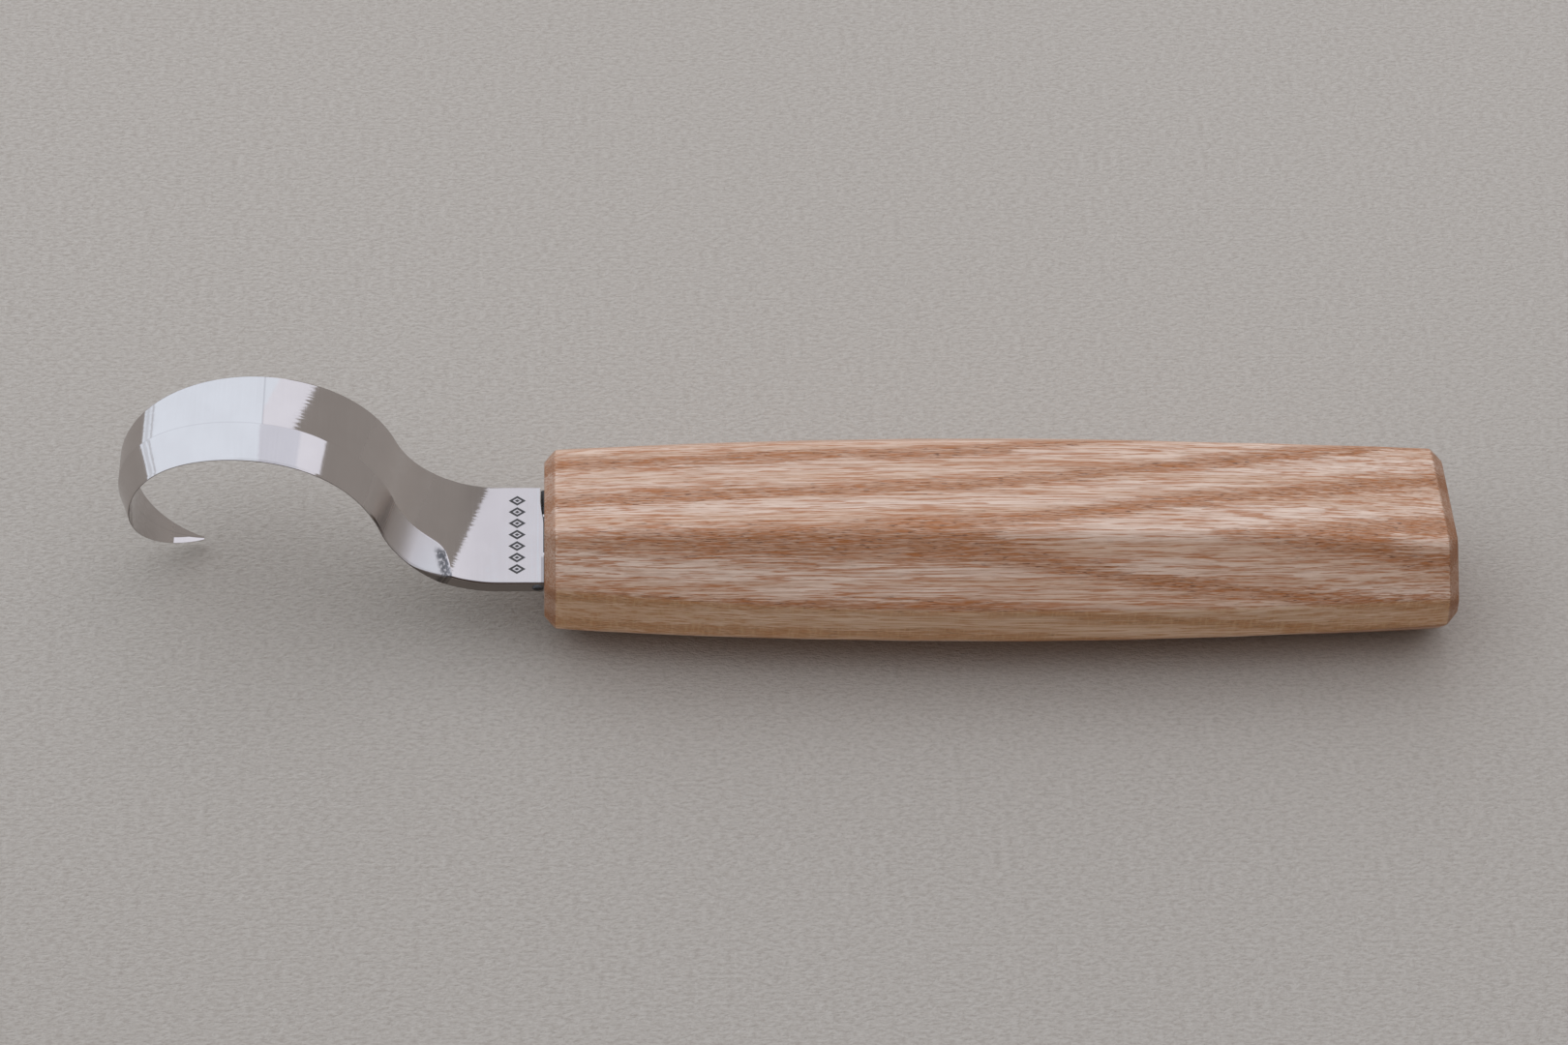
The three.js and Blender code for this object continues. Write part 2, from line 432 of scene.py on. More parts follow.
def bevel_width(along, width):
    """The bevel runs out towards the shank in a short curve, and narrows with the point."""
    if along <= PLUNGE_START:
        return 0.0
    run_out = 1 - math.exp(-(along - PLUNGE_START) / PLUNGE_RUN)
    return BEVEL_WIDTH * run_out * min(1.0, width / WIDTH_AT_POINT)


def outer_face(along, y):
    """How far the outer face stands from the strip's middle plane at that place."""
    width = blade_width(along)
    share = min(1.0, width / WIDTH_AT_POINT)
    to_point = smooth((along - POINT_START) / (BLADE_LENGTH - POINT_START))
    outer = mix(THICKNESS, TIP_THICKNESS, to_point) - THICKNESS / 2
    bevel = bevel_width(along, width)
    below_ridge = WIDTH / 2 - width + bevel - y
    if bevel <= 0 or below_ridge <= 0:
        return outer
    full_drop = outer + THICKNESS / 2 - EDGE_THICKNESS
    reached = smooth((along - PLUNGE_START) / PLUNGE_RAMP)
    drop = full_drop * mix(PLUNGE_FIRST_DROP, 1.0, reached)
    return outer - drop * below_ridge / (BEVEL_WIDTH * share)


def bevel_facing(along, y):
    """The direction (across, out, ahead) in which the ground bevel faces there."""
    step = 0.05
    across = (outer_face(along, y) - outer_face(along, y - step)) / step
    ahead = (outer_face(along + step, y) - outer_face(along - step, y)) / (2 * step)
    return (-across, 1.0, -ahead)


def tip_facet_facing(along):
    """The tip's honed facet is flat, so its direction turns against the bend."""
    across, out, ahead = TIP_FACET_FACING
    turn = lean(along) - lean(BLADE_LENGTH - TIP_FACET_MIDDLE)
    return (
        across,
        out * math.cos(turn) - ahead * math.sin(turn),
        out * math.sin(turn) + ahead * math.cos(turn),
    )


def blade_section(along):
    """The section there, counter-clockwise seen from the handle: its points (y, out), and
    for the side after each point the directions that it faces at its two ends."""
    width = blade_width(along)
    bevel = bevel_width(along, width)
    spine = WIDTH / 2
    edge = spine - width
    inner = -THICKNESS / 2
    outer = outer_face(along, spine)
    edge_out = outer_face(along, edge)
    chamfer = min(EDGE_CHAMFER, (edge_out - inner) * CHAMFER_SHARE)
    micro = max(chamfer, min(MICRO_BEVEL_WIDTH, bevel * MICRO_BEVEL_SHARE))
    ridge = edge + max(bevel, micro)
    soft = min(RIDGE_ROUNDING, (ridge - edge - micro) / 4)
    thickness_limit = (outer - inner) * CORNER_SHARE_OF_THICKNESS
    radius = min(CORNER_RADIUS, width * CORNER_SHARE_OF_WIDTH, thickness_limit)
    points = [(edge, inner)]
    faced = []

    def go_to(y, out, at_start, at_end=None):
        points.append((y, out))
        faced.append((at_start, at_end or at_start))

    # The inner face, whose first strip is the honed facet near the tip.
    facet = min(TIP_FACET_WIDTH, width * TIP_FACET_SHARE)
    near_tip = along > BLADE_LENGTH - TIP_FACET_LENGTH
    go_to(edge + facet, inner, tip_facet_facing(along) if near_tip else INWARD)
    for y in spread(edge + facet, spine - radius, 5)[1:]:
        go_to(y, inner, INWARD)
    # The spine, with a rounded corner on each side of it.
    for start, centre in ((-math.pi / 2, inner + radius), (0.0, outer - radius)):
        if start == 0.0:
            go_to(spine, centre, TO_SPINE)
        turns = spread(start, start + math.pi / 2, 4)
        turned = [(math.cos(turn), math.sin(turn), 0) for turn in turns]
        for before, after in zip(turned, turned[1:]):
            y = spine - radius + radius * after[0]
            go_to(y, centre + radius * after[1], before, after)
    # The flat outer face, and the bevel beyond its softened ridge.
    for y in spread(spine - radius, ridge + soft, 7)[1:]:
        go_to(y, outer, OUTWARD)
    facing = OUTWARD
    for y in spread(ridge - soft, edge + micro, 5):
        before = facing
        facing = bevel_facing(along, y - 0.001) if bevel > 0 else OUTWARD
        go_to(y, outer_face(along, y), before, facing)
    # The honed strip on the bevel, and a small chamfer, which is the larger on the shank.
    across, out, ahead = facing
    honed = (across - MICRO_BEVEL_TILT * min(1.0, bevel), out, ahead)
    go_to(edge + chamfer, outer_face(along, edge + chamfer), honed)
    go_to(edge, edge_out - chamfer, *CHAMFER_FACINGS)
    faced.append((TO_EDGE, TO_EDGE))
    return points, faced


def polished_at(along, y, on_flat, inside):
    """The place along the strip whose lean the polished surface takes there.

    The inner face follows the bend exactly; the outer flat and the bevel run ahead or lag.
    """
    if inside:
        return along
    start, end = POLISH_LAG_SPAN
    lagging = smooth((along - start) / (end - start))
    if not on_flat:
        start, end = RUN_OUT_RISE
        rise = smooth((along - start) / (end - start))
        start, end = RUN_OUT_FALL
        run_out = rise * (1 - smooth((along - start) / (end - start)))
        return along - RUN_OUT_LAG * run_out - BEVEL_LAG * lagging
    if along < POLISH_CREASE:
        return along + POLISH_SLANT * y
    leading = 1 - smooth((along - POLISH_CREASE) / (POLISH_LEAD_END - POLISH_CREASE))
    return along + POLISH_LEAD * leading - POLISH_LAG * lagging


def blade_stations():
    """The places of the blade's sections, closest together where the bevel runs out."""
    shank = spread(0.0, PLUNGE_START - 0.2, 46)
    plunge = spread(PLUNGE_START - 0.1, PLUNGE_START + 3.2, 44)
    neck = spread(PLUNGE_START + 3.4, POLISH_CREASE, 104)
    hook = spread(POLISH_CREASE + 0.25, BLADE_LENGTH - 0.8, 146)
    point = spread(BLADE_LENGTH - 0.6, BLADE_LENGTH, 5)
    return shank + plunge + neck + hook + point


def ground_place(along, y):
    """How far that place lies above the ridge of the bevel, and above the edge."""
    width = blade_width(along)
    above_edge = y - WIDTH / 2 + width
    return (above_edge - bevel_width(along, width), above_edge)


def shoulder_gap(y):
    """The shoulder touches the handle, but for a notch beside the spine."""
    in_notch = smooth((y - NOTCH_START) / NOTCH_RUN)
    return mix(SHOULDER_GAP_AT_EDGE, SHOULDER_GAP_AT_SPINE, in_notch)


def polished_normal(middle, along, y, direction):
    """The normal at a face corner, where the face's own middle lies at middle."""
    across, out, ahead = direction
    on_flat = abs(across) < 0.01 and out > 0
    # Up to the crease no corner faces further on than its face's middle: the strip's normals
    # go in fine steps, which show as faint bands across it.
    held = min(along, middle) if middle < POLISH_CREASE else along
    leaning = lean(polished_at(held, y, on_flat, out < 0))
    forward = Vector((-math.cos(leaning), 0, math.sin(leaning)))
    outward = Vector((math.sin(leaning), 0, math.cos(leaning)))
    return (out * outward + ahead * forward + Vector((0, across, 0))).normalized()


class Skin:
    """The blade's faces, with the UVs and the normal that each face corner carries."""

    def __init__(self):
        self.points = []
        self.index_at = {}
        self.faces = []
        self.strip = []
        self.ground = []
        self.normals = []

    def add_point(self, place):
        """The index of the point there, which is made if it is new."""
        key = tuple(round(c, WELD_DECIMALS) for c in place)
        if key not in self.index_at:
            self.index_at[key] = len(self.points)
            self.points.append(tuple(place))
        return self.index_at[key]

    def add_face(self, corners):
        """A face from (index, strip, ground, normal) corners, or none if it has no area."""
        kept = [c for k, c in enumerate(corners) if c[0] != corners[k - 1][0]]
        if len(kept) < 3:
            return
        indices, strip, ground, normals = zip(*kept)
        self.faces.append(indices)
        self.strip += strip
        self.ground += ground
        self.normals += normals

    def add_plain_face(self, indices, normal):
        """A face off the polished strip, all of which faces one way."""
        off_strip = (WIDTH, WIDTH)
        normal = Vector(normal)
        corners = [(i, (0.0, self.points[i][1]), off_strip, normal) for i in indices]
        self.add_face(corners)


def add_length(skin, near, far):
    """The faces between two sections, the one nearer the tip first.

    Each section comes as its place, its points, what its sides face and its indices.
    """
    middle = (near[0] + far[0]) / 2
    count = len(near[3])
    for i in range(count):
        j = (i + 1) % count
        corners = []
        for (along, section, faced, ring), k, end in (
            (near, i, 0),
            (near, j, 1),
            (far, j, 1),
            (far, i, 0),
        ):
            y = section[k][0]
            normal = polished_normal(middle, along, y, faced[i][end])
            corners.append((ring[k], (along, y), ground_place(along, y), normal))
        skin.add_face(corners)


def add_tang(skin, section, shoulder):
    """The tang goes on from the shoulder face, narrower than the strip."""
    neck = -HANDLE_HALF_LENGTH
    low = min(y for y, _ in section)
    high = max(y for y, _ in section)
    count = len(section)
    previous = shoulder
    for x, half in (
        (None, TANG_ROOT_HALF_WIDTH),
        (neck + 1.0, TANG_ROOT_HALF_WIDTH),
        (neck + TANG_LENGTH - TANG_NOSE, TANG_END_HALF_WIDTH),
        (neck + TANG_LENGTH, TANG_END_HALF_WIDTH / 2),
    ):
        ring = []
        for y, out in section:
            across = mix(-half, half, (y - low) / (high - low))
            place = neck - shoulder_gap(across) if x is None else x
            ring.append(skin.add_point((place, across, AXIS_HEIGHT + out)))
        for i in range(count):
            j = (i + 1) % count
            indices = (previous[i], previous[j], ring[j], ring[i])
            a, b, c, d = (Vector(skin.points[k]) for k in indices)
            normal = Vector((1, 0, 0)) if x is None else (c - a).cross(d - b).normalized()
            skin.add_plain_face(indices, normal)
        previous = ring
    skin.add_plain_face(previous, (1, 0, 0))


def build_blade():
    """The strip from its tip to its shoulder, and the tang, as one closed skin."""
    skin = Skin()
    lengths = []
    for along in reversed(blade_stations()):
        section, faced = blade_section(along)
        ring = []
        for y, out in section:
            # No part of the strip comes nearer to the handle than the shoulder's gap.
            place = bend(max(along, shoulder_gap(y)), y, out)
            ring.append(skin.add_point(place))
        lengths.append((along, section, faced, ring))
    tip_lean = lean(BLADE_LENGTH)
    blunt_end = (-math.cos(tip_lean), 0, math.sin(tip_lean))
    skin.add_plain_face(list(reversed(lengths[0][3])), blunt_end)
    for near, far in zip(lengths, lengths[1:]):
        add_length(skin, near, far)
    _, section, _, shoulder = lengths[-1]
    add_tang(skin, section, shoulder)
    layers = (("strip", skin.strip), ("ground", skin.ground))
    return make_object("hook_blade", skin.points, skin.faces, layers, skin.normals)


# ---------------------------------------------------------------- resin


def add_drop(points, faces):
    """A small bead of the dark resin beside the shoulder's front corner."""
    (x, y, z), (length, width, height) = DROP_CENTRE, DROP_HALF
    first = len(points)
    for polar in spread(0, math.pi, DROP_BANDS)[1:-1]:
        for k in range(DROP_POINTS):
            turn = 2 * math.pi * k / DROP_POINTS
            around = math.sin(polar)
            points.append((
                x - length * math.cos(polar),
                y + width * around * math.cos(turn),
                z + height * around * math.sin(turn),
            ))
    rings = DROP_BANDS - 1
    for i in range(rings - 1):
        faces += quads_between(first + i * DROP_POINTS, first + (i + 1) * DROP_POINTS, DROP_POINTS)
    last = first + (rings - 1) * DROP_POINTS
    faces.append(tuple(reversed(range(first, first + DROP_POINTS))))
    faces.append(tuple(range(last, last + DROP_POINTS)))


def resin_collar():
    """The thin ragged collar squeezed out under the shoulder: its back and front rings."""
    front = -HANDLE_HALF_LENGTH
    back_ring = []
    front_ring = []
    outline = rounded_rectangle(front - COLLAR_OVERLAP, *COLLAR_HALF, COLLAR_CORNER)
    narrower, lower = COLLAR_TAPER
    for i, (x, y, z) in enumerate(outline):
        wander = 0.05 * math.sin(i * 1.7) + 0.04 * math.sin(i * 0.9 + 1)
        across = y * (1 + wander * 0.4)
        above_axis = z - AXIS_HEIGHT
        back_ring.append((x, across, AXIS_HEIGHT + above_axis * (1 + wander)))
        place = front - COLLAR_FILL * shoulder_gap(y)
        height = AXIS_HEIGHT + above_axis * (lower + wander)
        front_ring.append((place, across * narrower, height))
    return back_ring, front_ring


def build_resin():
    """The sleeve that beds the tang, with its collar and the bead beside it."""
    front = -HANDLE_HALF_LENGTH
    slot_half = THICKNESS / 2 + TANG_PLAY
    slot_front = TANG_ROOT_HALF_WIDTH + TANG_PLAY
    slot_back = TANG_END_HALF_WIDTH + TANG_END_PLAY[0]
    slot_end = front + TANG_LENGTH + TANG_END_PLAY[1]
    rings = [
        rounded_rectangle(front + RESIN_LENGTH, *RESIN_HALF, RESIN_CORNER),
        rounded_rectangle(front + RESIN_INSET, *RESIN_HALF, RESIN_CORNER),
        *resin_collar(),
        rounded_rectangle(front - SLOT_LIP, slot_front, slot_half, SLOT_CORNER),
        rounded_rectangle(slot_end, slot_back, slot_half, SLOT_CORNER),
    ]
    points = [p for ring in rings for p in ring]
    last = len(points) - LOOP_POINTS
    faces = []
    for first in range(0, last, LOOP_POINTS):
        faces += quads_between(first, first + LOOP_POINTS, LOOP_POINTS)
    faces.append(tuple(reversed(range(LOOP_POINTS))))
    faces.append(tuple(range(last, last + LOOP_POINTS)))
    # The rings run from the back to the front, so the faces are turned to look outwards.
    faces = [tuple(reversed(face)) for face in faces]
    add_drop(points, faces)
    return make_object("tang_resin", points, faces)


# ---------------------------------------------------------------- materials


class Graph:
    """Short names for building a node tree."""

    def __init__(self, tree):
        self.tree = tree
        tree.nodes.clear()

    def add(self, kind, **settings):
        node = self.tree.nodes.new(kind)
        for name, value in settings.items():
            setattr(node, name, value)
        return node

    def put(self, socket, value):
        if isinstance(value, bpy.types.NodeSocket):
            self.tree.links.new(value, socket)
        else:
            socket.default_value = value

    def math(self, operation, a, b=0.0, clamp=False):
        node = self.add("ShaderNodeMath", operation=operation, use_clamp=clamp)
        self.put(node.inputs[0], a)
        self.put(node.inputs[1], b)
        return node.outputs[0]

    def vector(self, operation, a, b=(0, 0, 0)):
        node = self.add("ShaderNodeVectorMath", operation=operation)
        self.put(node.inputs[0], a)
        self.put(node.inputs[1], b)
        return node.outputs["Value" if operation == "LENGTH" else "Vector"]

    def split(self, vector):
        node = self.add("ShaderNodeSeparateXYZ")
        self.put(node.inputs[0], vector)
        return node.outputs

    def join(self, x, y, z):
        node = self.add("ShaderNodeCombineXYZ")
        for socket, value in zip(node.inputs, (x, y, z)):
            self.put(socket, value)
        return node.outputs[0]

    def noise(self, vector, scale, detail=2.0, roughness=0.5):
        node = self.add("ShaderNodeTexNoise")
        self.put(node.inputs["Vector"], self.vector("MULTIPLY", vector, scale))
        self.put(node.inputs["Scale"], 1.0)
        self.put(node.inputs["Detail"], detail)
        self.put(node.inputs["Roughness"], roughness)
        return node.outputs[0]

    def ramp(self, value, low, high, to_low=0.0, to_high=1.0, soft=True):
        """to_low up to the value low, to_high from the value high, and between them a slope."""
        node = self.add("ShaderNodeMapRange")
        node.interpolation_type = "SMOOTHSTEP" if soft else "LINEAR"
        for name, number in (
            ("Value", value),
            ("From Min", low),
            ("From Max", high),
            ("To Min", to_low),
            ("To Max", to_high),
        ):
            self.put(node.inputs[name], number)
        return node.outputs[0]

    def band(self, value, low, high, soft):
        """1 between low and high, falling to 0 just inside them."""
        rise = self.ramp(value, low, low + soft)
        return self.math("MULTIPLY", rise, self.ramp(value, high - soft, high, 1.0, 0.0))

    def line(self, value, centre, half, soft):
        """1 close to the centre, falling to 0 over the last part of half."""
        off = self.math("ABSOLUTE", self.math("SUBTRACT", value, centre))
        return self.ramp(off, half - soft, half, 1.0, 0.0)

    def product(self, first, *others):
        for other in others:
            first = self.math("MULTIPLY", first, other)
        return first

    def total(self, first, *others):
        for other in others:
            first = self.math("ADD", first, other)
        return first

    def uv(self, layer):
        node = self.add("ShaderNodeUVMap")
        node.uv_map = layer
        return node.outputs[0]

    def blend(self, share, a, b):
        """Colour a, or b where share is 1."""
        node = self.add("ShaderNodeMix", data_type="RGBA")
        colours = [s for s in node.inputs if s.type == "RGBA"]
        self.put(node.inputs[0], share)
        for socket, value in zip(colours, (a, b)):
            self.put(socket, value if isinstance(value, bpy.types.NodeSocket) else (*value, 1.0))
        return [s for s in node.outputs if s.type == "RGBA"][0]

    def bump(self, height, strength, distance):
        node = self.add("ShaderNodeBump")
        self.put(node.inputs["Height"], height)
        self.put(node.inputs["Strength"], strength)
        self.put(node.inputs["Distance"], distance)
        return node.outputs[0]

    def finish(self, **inputs):
        """A principled surface whose sockets are given by name, with _ for each space."""
        shader = self.add("ShaderNodeBsdfPrincipled")
        for name, value in inputs.items():
            self.put(shader.inputs[name.replace("_", " ")], value)
        output = self.add("ShaderNodeOutputMaterial")
        self.tree.links.new(shader.outputs[0], output.inputs[0])
        return shader


def new_material(name):
    material = bpy.data.materials.new(name)
    material.use_nodes = True
    return material, Graph(material.node_tree)


def in_mm(g):
    """The point's own place on the object, in millimetres."""
    place = g.add("ShaderNodeTexCoord").outputs["Object"]
    return g.vector("MULTIPLY", place, (1000, 1000, 1000))


def true_normal(g):
    return g.add("ShaderNodeNewGeometry").outputs["True Normal"]


# Ash: growth rings round a pith that lay just above the handle's front upper ridge.
PITH = (-11.0, 25.4)
RING_PERIOD = 4.96
RING_START = 5.0
BARREL_FOLLOW = -0.39
GRAIN_TILT = 0.0093
GRAIN_TWIST = -0.0016
GRAIN_DRIFT = -0.157
DRIFT_FROM = -5.0
DRIFT_SOFTNESS = 6.0
ASH_LIGHT = (0.685, 0.455, 0.315)
# Pale wood, which is also the colour of the fine streaks of painted sheen.
ASH_PALE_AND_SHEEN = (0.83, 0.63, 0.495)
ASH_BROWN = (0.37, 0.14, 0.045)
ASH_STREAK = (0.42, 0.135, 0.03)
ASH_PORE = (0.12, 0.045, 0.02)
ASH_FLECK = (0.72, 0.53, 0.33)
ASH_SIDE = (0.82, 0.50, 0.22)
ASH_END = (0.25, 0.11, 0.05)


def ring_phase(g, place):
    """How far a point lies through its year's growth, from 0 to 1 across each ring."""
    x, y, z = g.split(place)
    off_y = g.math("SUBTRACT", y, PITH[0])
    off_z = g.math("SUBTRACT", z, PITH[1])
    from_pith = g.vector("LENGTH", g.join(0.0, off_y, off_z))
    shifted = g.math("SUBTRACT", x, DRIFT_FROM)
    root = g.math("SQRT", g.math("ADD", g.math("POWER", shifted, 2.0), DRIFT_SOFTNESS**2))
    drift = g.math("MULTIPLY", g.math("ADD", shifted, root), GRAIN_DRIFT / 2)
    # The rings follow the handle's swell, so they run level along its left half.
    swell = g.math("POWER", g.math("DIVIDE", x, HANDLE_HALF_LENGTH), 2.0)
    follow = g.math("MULTIPLY", g.math("SUBTRACT", 1.0, swell), BARREL_FOLLOW)
    turned = g.math("ADD", g.math("MULTIPLY", y, GRAIN_TWIST), GRAIN_TILT)
    tilt = g.math("MULTIPLY", x, turned)
    depth = g.total(from_pith, drift, follow, tilt)
    # The rings waver, and the pores run along the grain, which frays their edges.
    slow = g.noise(place, (0.018, 0.07, 0.07), detail=1.0)
    waver = g.noise(place, (0.05, 0.35, 0.35))
    frayed = g.noise(place, (0.09, 3.4, 3.4), detail=3.0, roughness=0.65)
    for noise, reach in ((slow, 0.6), (waver, 0.35), (frayed, 1.9)):
        depth = g.math("ADD", depth, g.ramp(noise, 0.0, 1.0, -reach, reach, soft=False))
    rings = g.math("DIVIDE", g.math("SUBTRACT", depth, RING_START), RING_PERIOD)
    return g.math("FRACT", rings)


def ash_material():
    """Oiled ash: pale late wood, brown porous early wood, fibres, pores, ray flecks and fine
    streaks of painted sheen.
    """
    material, g = new_material("oiled_ash")
    place = in_mm(g)
    phase = ring_phase(g, place)
    early = g.product(g.ramp(phase, 0.0, 0.08), g.ramp(phase, 0.24, 0.52, 1.0, 0.0))
    late = g.ramp(phase, 0.72, 1.0)

    broad = g.noise(place, (0.02, 0.5, 0.5))
    fibre = g.noise(place, (0.08, 3.6, 3.6), detail=3.0, roughness=0.6)
    streaks = g.noise(place, (0.13, 4.6, 4.6), roughness=0.55)
    sheen_noise = g.noise(place, (0.5, 10.0, 10.0))
    pores = g.noise(place, (0.8, 8.0, 8.0), detail=1.0)
    fibre_mark = g.ramp(fibre, 0.42, 0.60)
    streak_mark = g.ramp(streaks, 0.51, 0.57)
    pore_share = g.math("ADD", g.math("MULTIPLY", early, 0.6), 0.12)
    pore_mark = g.product(g.ramp(pores, 0.6, 0.7), pore_share)

    colour = g.blend(g.ramp(broad, 0.35, 0.65), ASH_LIGHT, ASH_PALE_AND_SHEEN)
    colour = g.blend(g.math("MULTIPLY", early, 0.88), colour, ASH_BROWN)
    colour = g.blend(g.math("MULTIPLY", late, 0.16), colour, ASH_BROWN)
    colour = g.blend(g.math("MULTIPLY", fibre_mark, 0.42), colour, ASH_BROWN)
    colour = g.blend(g.math("MULTIPLY", streak_mark, 0.75), colour, ASH_STREAK)
    # Painted sheen: fine pale streaks along the grain.
    colour = g.blend(g.ramp(sheen_noise, 0.4, 0.7, 0.0, 0.4), colour, ASH_PALE_AND_SHEEN)
    colour = g.blend(pore_mark, colour, ASH_PORE)

    # Ray flecks show as short upright ripples on the two side facets.
    facing_x, facing_y, _ = g.split(true_normal(g))
    on_side = g.ramp(g.math("ABSOLUTE", facing_y), 0.88, 0.99)
    fleck = g.noise(place, (2.6, 0.6, 0.5))
    fleck_mark = g.product(g.ramp(fleck, 0.5, 0.7, 0.0, 0.3), on_side)
    colour = g.blend(fleck_mark, colour, ASH_FLECK)
    # The two side facets are tinted more yellow and orange.
    colour = g.blend(g.math("MULTIPLY", on_side, 0.28), colour, ASH_SIDE)
    # The sawn ends hold more oil.
    on_end = g.ramp(g.math("ABSOLUTE", facing_x), 0.2, 0.6)
    colour = g.blend(g.math("MULTIPLY", on_end, 0.58), colour, ASH_END)

    height = g.math("SUBTRACT", g.math("MULTIPLY", fibre, 0.6), g.math("MULTIPLY", pore_mark, 1.2))
    height = g.math("SUBTRACT", height, g.math("MULTIPLY", streak_mark, 0.25))
    surface = g.bump(height, 0.35, 0.00008)
    roughness = g.total(g.math("MULTIPLY", fibre, 0.12), g.ramp(early, 0.0, 1.0, 0.40, 0.52))
    shader = g.finish(Base_Color=colour, Roughness=roughness, Normal=surface)
    shader.inputs["Specular IOR Level"].default_value = 0.32
    shader.inputs["Coat Weight"].default_value = 0.03
    shader.inputs["Coat Roughness"].default_value = 0.35
    return material


# Steel, and the lozenges etched on it. Places on it are mm along the strip and across it.
STEEL = (0.54, 0.505, 0.49)
STEEL_CLOUD = (0.52, 0.485, 0.47)
STEEL_LINE = (0.575, 0.54, 0.525)
STEEL_ROUGH = (0.16, 0.16, 0.17)
STEEL_DARKER = (0.10, 0.09, 0.09)
# The front-facing cut side: duller steel, darkened further with painted shade.
STEEL_CUT_SIDE_AND_SHADE = (0.16, 0.135, 0.115)
ETCH_BLACK = (0.028, 0.022, 0.02)
ETCH_CENTRE = 3.25
ETCH_HALF_WIDTH = 1.05
ETCH_PITCH = 1.75
ETCH_COUNT = 7


def etched_lozenges(g, along, across, outward):
    """A plain row of lozenges with a dot in each, where makers put their mark."""
    row_half = ETCH_PITCH * ETCH_COUNT / 2
    cell = g.math("FRACT", g.math("DIVIDE", g.math("ADD", across, row_half), ETCH_PITCH))
    off_cell = g.math("ABSOLUTE", g.math("SUBTRACT", cell, 0.5))
    off_row = g.math("ABSOLUTE", g.math("SUBTRACT", along, ETCH_CENTRE))
    off_row = g.math("DIVIDE", off_row, ETCH_HALF_WIDTH)
    lozenge = g.math("ADD", off_row, g.math("MULTIPLY", off_cell, 2.3))
    ring = g.product(g.ramp(lozenge, 0.95, 1.02, 1.0, 0.0), g.ramp(lozenge, 0.50, 0.58))
    dot = g.ramp(lozenge, 0.24, 0.32, 1.0, 0.0)
    in_row = g.line(across, 0.0, row_half, 0.02)
    on_shank = g.ramp(along, 6.0, 6.2, 1.0, 0.0)
    on_outer_face = g.ramp(outward, 0.8, 0.9)
    return g.product(g.math("MAXIMUM", ring, dot), in_row, on_outer_face, on_shank)


def darker_marks(g, along, across, above_ridge, outward):
    """Darker marks: the crease, the bevel's ridge, the shoulder's corner and the shank."""
    outer_side = g.ramp(outward, 0.2, 0.3)
    above = g.ramp(above_ridge, 0.0, 0.1)
    crease = g.product(g.line(along, POLISH_CREASE, 0.16, 0.11), outer_side, above)
    on_hook = g.ramp(along, 30.0, 38.0)
    ridge_line = g.product(g.line(above_ridge, 0.05, 0.12, 0.09), outer_side, on_hook)
    at_shoulder = g.ramp(along, 0.34, 0.42, 1.0, 0.0)
    edge_strip = g.product(at_shoulder, g.ramp(across, -3.6, -3.2, 1.0, 0.0))
    darkening = g.total(
        g.math("MULTIPLY", crease, 0.2),
        g.math("MULTIPLY", ridge_line, 0.09),
        g.math("MULTIPLY", edge_strip, 0.35),
    )
    return g.math("ADD", darkening, g.ramp(along, 7.5, 12.5, 0.16, 0.0), clamp=True)


def rough_patch(g, uv, along, across):
    """The grinding wheel left a rough patch where the bevel runs out."""
    run_out = g.math("SUBTRACT", along, g.ramp(across, -7.4, -3.6, 0.0, 1.0))
    inside = g.product(
        g.ramp(run_out, 11.35, 11.5),
        g.ramp(run_out, 12.3, 13.2, 1.0, 0.0),
        g.ramp(across, -4.2, -3.4, 1.0, 0.0),
    )
    pits = g.noise(uv, (2.6, 1.6, 1), detail=3.0, roughness=0.7)
    return g.product(inside, g.ramp(pits, 0.32, 0.56))


